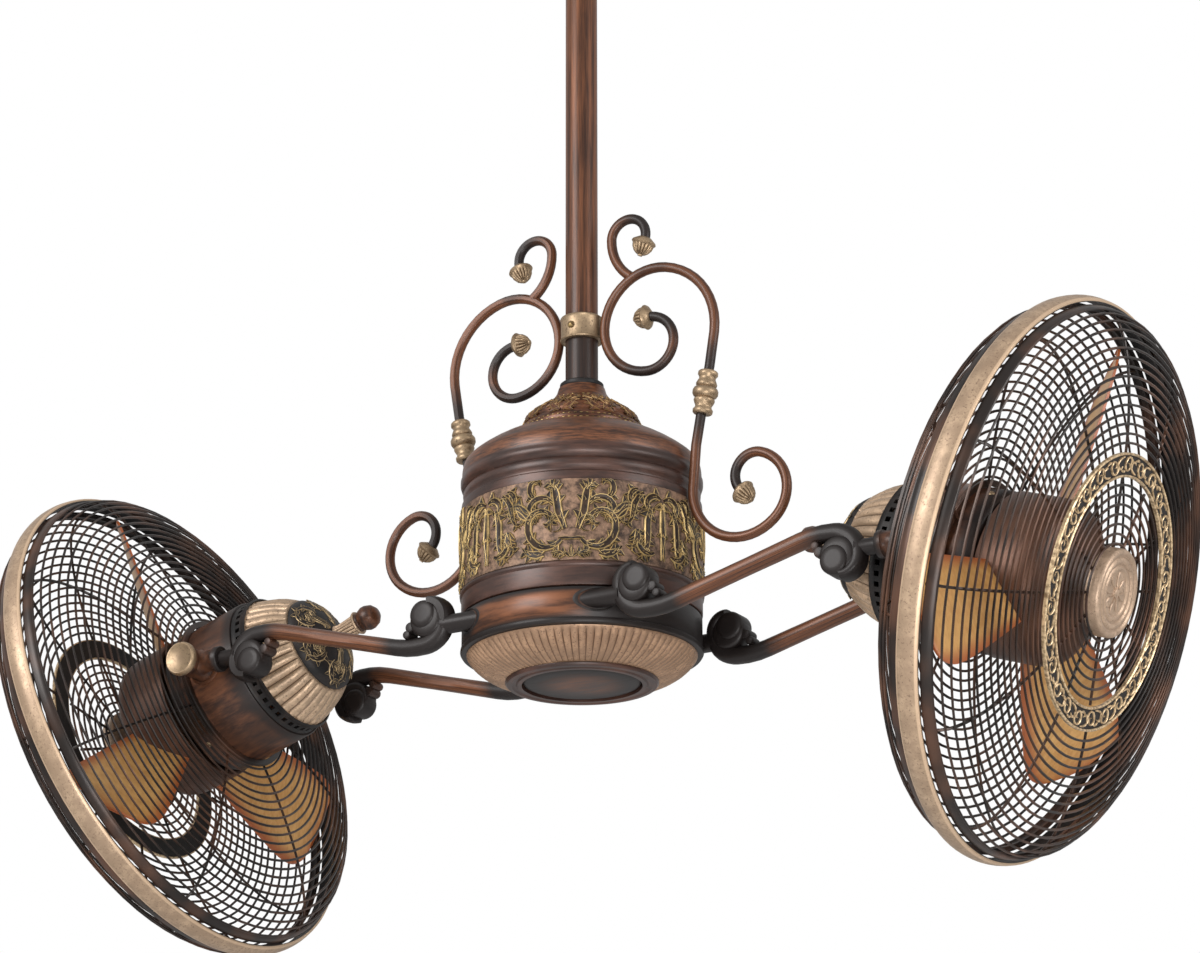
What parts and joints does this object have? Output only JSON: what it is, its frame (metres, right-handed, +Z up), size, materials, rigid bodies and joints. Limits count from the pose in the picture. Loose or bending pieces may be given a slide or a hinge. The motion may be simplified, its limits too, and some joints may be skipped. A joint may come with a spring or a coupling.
{
  "type": "twin head ceiling fan",
  "caption": "Ceiling fan with a pair of caged, tilting fan heads on scrolled arms that turn round a hanging hub.",
  "frame": {"origin": "centre of the hanger bracket's top face, on the ceiling", "axes": "+Z up into the ceiling and along the downrod, +X towards the right fan head at rest, +Y away from the viewer"},
  "size_m": [0.9872, 0.4254, 0.8986],
  "materials": {
    "bronze": "dark espresso bronze paint, satin",
    "copper": "copper-brown paint dragged to a grain, dark at the ends, satin",
    "black": "near-black bronze paint, satin",
    "pewter": "mottled antique pewter over brown, satin",
    "gilt": "antique gilt with dark hollows",
    "amber": "warm tan, semi-gloss",
    "steel": "plain machined steel",
    "winding": "laminations with enamelled wire"
  },
  "bodies": {
    "ceiling_mount": {"hanger_bracket": "steel", "canopy": "copper"},
    "hung_hub": {"hanger_ball": "black", "downrod": "copper", "rod_collar": "black", "dome_cover": "copper", "upper_housing": "bronze", "ornament_band": "gilt", "lower_ring": "bronze", "hub_shaft": "steel", "hub_bearing": "steel", "scroll_clamp": "pewter", "scroll_right": "copper", "scroll_left": "copper"},
    "turning_hub": {"rotor_frame": "steel", "rotor_band": "copper", "slip_ring": "black", "fluted_bowl": "pewter", "trim_ring": "bronze", "bottom_disc": "copper", "arm_right_front": "bronze", "arm_right_back": "bronze", "arm_left_front": "bronze", "arm_left_back": "bronze", "knuckle_right_front": "copper", "knuckle_right_back": "copper", "knuckle_left_front": "copper", "knuckle_left_back": "copper"},
    "head_right": {"motor_housing_right": "copper", "vent_ring_right": "black", "fluted_cone_right": "pewter", "rear_cap_right": "black", "tilt_handle_right": "copper", "motor_stator_right": "winding", "rear_guard_right": "black", "front_guard_right": "black", "guard_hoop_right": "pewter", "medallion_right": "pewter"},
    "blades_right": {"motor_shaft_right": "steel", "blade_hub_right": "bronze", "blade_right_1": "amber", "blade_right_2": "amber", "blade_right_3": "amber"},
    "knob_right": {"pull_knob_right": "pewter"},
    "head_left": {"motor_housing_left": "copper", "vent_ring_left": "black", "fluted_cone_left": "pewter", "rear_cap_left": "black", "tilt_handle_left": "copper", "motor_stator_left": "winding", "rear_guard_left": "black", "front_guard_left": "black", "guard_hoop_left": "pewter", "medallion_left": "pewter"},
    "blades_left": {"motor_shaft_left": "steel", "blade_hub_left": "bronze", "blade_left_1": "amber", "blade_left_2": "amber", "blade_left_3": "amber"},
    "knob_left": {"pull_knob_left": "pewter"}
  },
  "joints": [
    {"name": "hanger_swing", "type": "hinge", "parent": "ceiling_mount", "child": "hung_hub", "pos_m": [0, 0, -0.037], "axis": [0, 1, 0], "range_deg": [-4, 4]},
    {"name": "hub_turn", "type": "hinge", "parent": "hung_hub", "child": "turning_hub", "pos_m": [0, 0, -0.665], "axis": [0, 0, 1], "continuous": true},
    {"name": "tilt_right", "type": "hinge", "parent": "turning_hub", "child": "head_right", "pos_m": [0.3274, 0, -0.6718], "axis": [0, 1, 0], "range_deg": [-63.5, 41.5]},
    {"name": "blade_spin_right", "type": "hinge", "parent": "head_right", "child": "blades_right", "pos_m": [0.3274, 0, -0.6718], "axis": [0.9483, 0, -0.3173], "continuous": true},
    {"name": "pull_right", "type": "slide", "parent": "turning_hub", "child": "knob_right", "axis": [0, 1, 0], "range_m": [0, 0.006], "stiffness_N_per_m": 400, "springref_m": -0.002},
    {"name": "tilt_left", "type": "hinge", "parent": "turning_hub", "child": "head_left", "pos_m": [-0.3274, 0, -0.6718], "axis": [0, -1, 0], "range_deg": [-63.5, 41.5]},
    {"name": "blade_spin_left", "type": "hinge", "parent": "head_left", "child": "blades_left", "pos_m": [-0.3274, 0, -0.6718], "axis": [-0.9483, 0, -0.3173], "continuous": true},
    {"name": "pull_left", "type": "slide", "parent": "turning_hub", "child": "knob_left", "axis": [0, -1, 0], "range_m": [0, 0.006], "stiffness_N_per_m": 400, "springref_m": -0.002}
  ]
}
